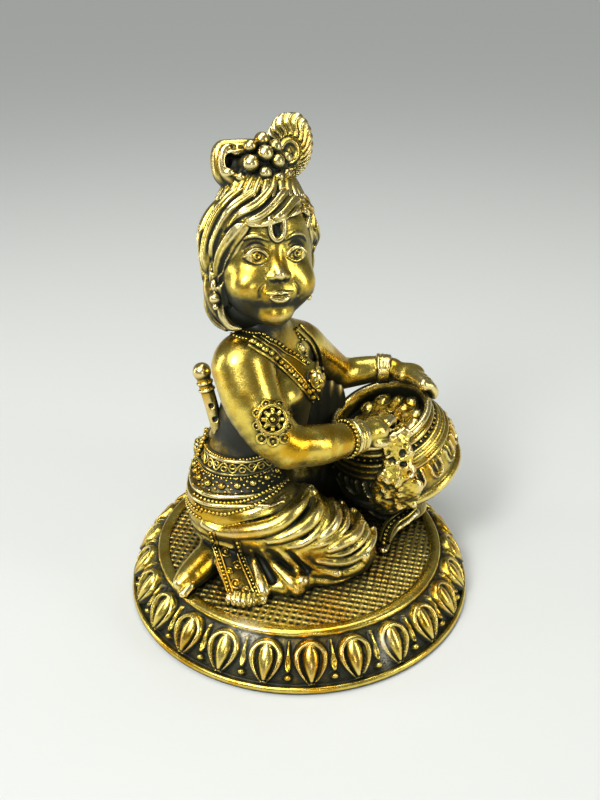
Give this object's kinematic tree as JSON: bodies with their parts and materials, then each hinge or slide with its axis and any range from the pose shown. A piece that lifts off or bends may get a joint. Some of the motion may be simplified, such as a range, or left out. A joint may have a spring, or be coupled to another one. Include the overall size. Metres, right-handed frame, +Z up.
{
  "type": "krishna idol",
  "caption": "Small table idol of a kneeling child deity hugging a pot of butter, with a flute at the waist, on a round lotus base.",
  "frame": {"origin": "centre of the lotus base's underside", "axes": "+Z up, -Y towards the side that the idol is seen from, +X towards the pot"},
  "size_m": [0.1, 0.1, 0.1326],
  "materials": {
    "base_gold": "antique gold on cast resin, dark in the hollows",
    "figure_gold": "antique gold on cast resin, dark in the hollows"
  },
  "bodies": {
    "root": {"lotus_base": "base_gold", "krishna_figure": "figure_gold"}
  },
  "joints": []
}
